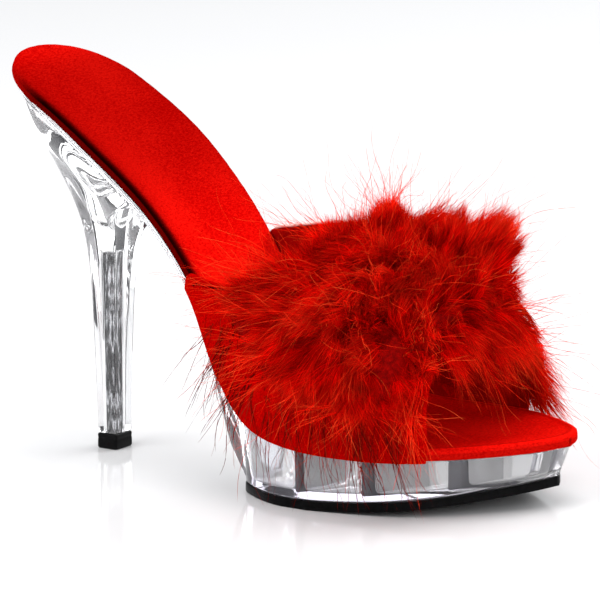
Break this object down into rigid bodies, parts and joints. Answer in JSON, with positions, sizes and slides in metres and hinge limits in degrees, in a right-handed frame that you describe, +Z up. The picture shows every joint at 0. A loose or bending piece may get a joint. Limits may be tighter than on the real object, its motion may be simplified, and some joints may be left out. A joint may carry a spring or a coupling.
{
  "type": "marabou slipper",
  "caption": "Backless platform mule with a clear stiletto heel and platform, a satin footbed and a wide open-toe band covered in marabou fur, right foot.",
  "frame": {"origin": "centre of the bounding box's floor face, on the floor that the lift and the outsole stand on", "axes": "+X from heel to toe, +Y towards the inner side of the right foot, +Z up"},
  "size_m": [0.2006, 0.103, 0.1307],
  "materials": {
    "satin_footbed": "satin, padded",
    "satin_band": "satin, lined",
    "marabou": "soft feather fur",
    "clear_platform": "clear moulded plastic, polished",
    "clear_heel": "clear moulded plastic, polished",
    "steel_pin": "drawn",
    "black_outsole": "fine matt",
    "black_lift": "satin"
  },
  "bodies": {
    "root": {"insole": "satin_footbed", "upper": "satin_band", "marabou_trim": "marabou", "platform": "clear_platform", "heel": "clear_heel", "heel_pin": "steel_pin", "outsole": "black_outsole", "top_lift": "black_lift"}
  },
  "joints": []
}
